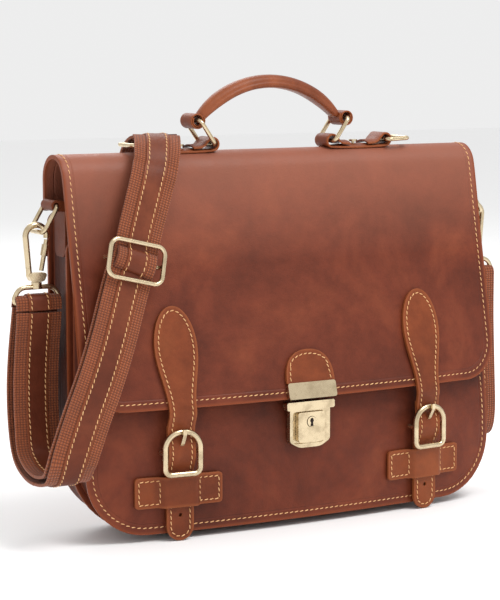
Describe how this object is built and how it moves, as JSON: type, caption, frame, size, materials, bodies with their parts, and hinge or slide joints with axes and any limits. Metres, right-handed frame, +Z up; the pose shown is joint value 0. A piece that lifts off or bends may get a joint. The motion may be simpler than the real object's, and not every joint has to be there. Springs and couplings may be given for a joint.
{
  "type": "satchel bag",
  "caption": "Structured leather satchel with a full flap, strap buckles, a centre lock, a ring-hung top handle and a webbing shoulder strap.",
  "frame": {"origin": "middle of the divider panel's bottom edge, on the surface the bag stands on", "axes": "+X to the right seen from the front, -Y to the front, +Z up"},
  "size_m": [0.466, 0.1165, 0.3659],
  "materials": {
    "shell_leather": "oiled full-grain",
    "strap_leather": "oiled full-grain",
    "board": "lining cloth over board",
    "webbing": "woven cotton webbing",
    "metal": "aged, polished on the high spots"
  },
  "bodies": {
    "shell": {"back_panel": "shell_leather", "divider_panel": "shell_leather", "front_panel": "shell_leather", "rear_gusset": "shell_leather", "front_gusset": "shell_leather", "flap_fold": "shell_leather", "bottom_board": "board", "left_strap_tail": "strap_leather", "left_buckle_chape": "strap_leather", "left_keeper": "strap_leather", "left_top_strip": "strap_leather", "left_side_tab": "strap_leather", "left_strip_rivet": "metal", "left_strap_ring": "metal", "left_strap_loop": "webbing", "right_strap_tail": "strap_leather", "right_buckle_chape": "strap_leather", "right_keeper": "strap_leather", "right_top_strip": "strap_leather", "right_side_tab": "strap_leather", "right_strip_rivet": "metal", "right_strap_ring": "metal", "right_strap_loop": "webbing", "lock_body": "metal", "strap_front_stripe": "strap_leather", "strap_back_stripe": "strap_leather", "strap_front": "webbing", "strap_back": "webbing", "strap_inner_layer": "webbing"},
    "flap": {"flap_front": "shell_leather", "left_flap_strap": "strap_leather", "right_flap_strap": "strap_leather", "lock_tab": "strap_leather", "lock_plate": "metal", "strap_slider": "metal"},
    "lock_slide": {"lock_slider": "metal"},
    "lock_barrel": {"lock_cylinder": "metal"},
    "handle": {"handle_grip": "strap_leather"},
    "left_handle_ring": {"left_handle_ring": "metal"},
    "left_top_ring": {"left_top_ring": "metal"},
    "left_buckle": {"left_buckle_frame": "metal"},
    "left_prong": {"left_buckle_prong": "metal"},
    "left_side_ring": {"left_side_ring": "metal"},
    "left_hook": {"left_snap_hook": "metal"},
    "left_gate": {"left_hook_gate": "metal"},
    "right_handle_ring": {"right_handle_ring": "metal"},
    "right_top_ring": {"right_top_ring": "metal"},
    "right_buckle": {"right_buckle_frame": "metal"},
    "right_prong": {"right_buckle_prong": "metal"},
    "right_side_ring": {"right_side_ring": "metal"},
    "right_hook": {"right_snap_hook": "metal"},
    "right_gate": {"right_hook_gate": "metal"}
  },
  "joints": [
    {"name": "flap_hinge", "type": "hinge", "parent": "shell", "child": "flap", "pos_m": [0, -0.0036, 0.2894], "axis": [-1, 0, 0], "range_deg": [0, 110], "deforming": ["strap_front", "strap_back", "strap_front_stripe", "strap_back_stripe", "strap_inner_layer", "left_strap_loop", "right_strap_loop"]},
    {"name": "lock_slide", "type": "slide", "parent": "shell", "child": "lock_slide", "axis": [-1, 0, 0], "range_m": [0, 0.003], "stiffness_N_per_m": 300, "springref_m": -0.001},
    {"name": "lock_turn", "type": "hinge", "parent": "lock_slide", "child": "lock_barrel", "pos_m": [0, -0.053, 0.0865], "axis": [0, -1, 0], "range_deg": [0, 90]},
    {"name": "left_handle_ring_tilt", "type": "hinge", "parent": "shell", "child": "left_handle_ring", "pos_m": [-0.057, 0.016, 0.3107], "axis": [0, 1, 0], "range_deg": [-10, 10]},
    {"name": "left_top_ring_flip", "type": "hinge", "parent": "shell", "child": "left_top_ring", "pos_m": [-0.11, 0.016, 0.3107], "axis": [0, 1, 0], "range_deg": [0, 5]},
    {"name": "left_buckle_tilt", "type": "hinge", "parent": "shell", "child": "left_buckle", "pos_m": [-0.11691, -0.04576, 0.0715], "axis": [0.9955, -0.0944, 0], "range_deg": [0, 4]},
    {"name": "left_prong_tilt", "type": "hinge", "parent": "left_buckle", "child": "left_prong", "pos_m": [-0.11691, -0.04576, 0.0715], "axis": [0.9955, -0.0944, 0], "range_deg": [0, 22]},
    {"name": "left_side_ring_tilt", "type": "hinge", "parent": "shell", "child": "left_side_ring", "pos_m": [-0.1965, 0.017, 0.266], "axis": [0, 1, 0], "range_deg": [-2, 2]},
    {"name": "left_hook_swivel", "type": "hinge", "parent": "shell", "child": "left_hook", "pos_m": [-0.21, 0.017, 0.2104], "axis": [0, 0, 1], "range_deg": [-15, 15]},
    {"name": "left_gate_open", "type": "hinge", "parent": "left_hook", "child": "left_gate", "pos_m": [-0.2058, 0.017, 0.2146], "axis": [0, -1, 0], "range_deg": [0, 22], "stiffness_Nm_per_rad": 0.05, "springref_deg": -20.05},
    {"name": "right_handle_ring_tilt", "type": "hinge", "parent": "shell", "child": "right_handle_ring", "pos_m": [0.057, 0.016, 0.3107], "axis": [0, 1, 0], "range_deg": [-10, 10]},
    {"name": "right_top_ring_flip", "type": "hinge", "parent": "shell", "child": "right_top_ring", "pos_m": [0.11, 0.016, 0.3107], "axis": [0, -1, 0], "range_deg": [0, 100]},
    {"name": "right_buckle_tilt", "type": "hinge", "parent": "shell", "child": "right_buckle", "pos_m": [0.11691, -0.04576, 0.0715], "axis": [0.9955, 0.0944, 0], "range_deg": [0, 4]},
    {"name": "right_prong_tilt", "type": "hinge", "parent": "right_buckle", "child": "right_prong", "pos_m": [0.11691, -0.04576, 0.0715], "axis": [0.9955, 0.0944, 0], "range_deg": [0, 22]},
    {"name": "right_side_ring_tilt", "type": "hinge", "parent": "shell", "child": "right_side_ring", "pos_m": [0.1965, 0.017, 0.266], "axis": [0, 1, 0], "range_deg": [-2, 2]},
    {"name": "right_hook_swivel", "type": "hinge", "parent": "shell", "child": "right_hook", "pos_m": [0.21, 0.017, 0.2104], "axis": [0, 0, 1], "range_deg": [-15, 15]},
    {"name": "right_gate_open", "type": "hinge", "parent": "right_hook", "child": "right_gate", "pos_m": [0.2058, 0.017, 0.2146], "axis": [0, 1, 0], "range_deg": [0, 22], "stiffness_Nm_per_rad": 0.05, "springref_deg": -20.05},
    {"name": "handle_sway", "type": "hinge", "parent": "left_handle_ring", "child": "handle", "pos_m": [-0.0705, 0.016, 0.33], "axis": [0, 1, 0], "range_deg": [-10, 10]}
  ],
  "couplings": [
    {"joint": "handle_sway", "follows": "left_handle_ring_tilt", "ratio": -0.8085},
    {"joint": "right_handle_ring_tilt", "follows": "left_handle_ring_tilt", "ratio": 1}
  ]
}
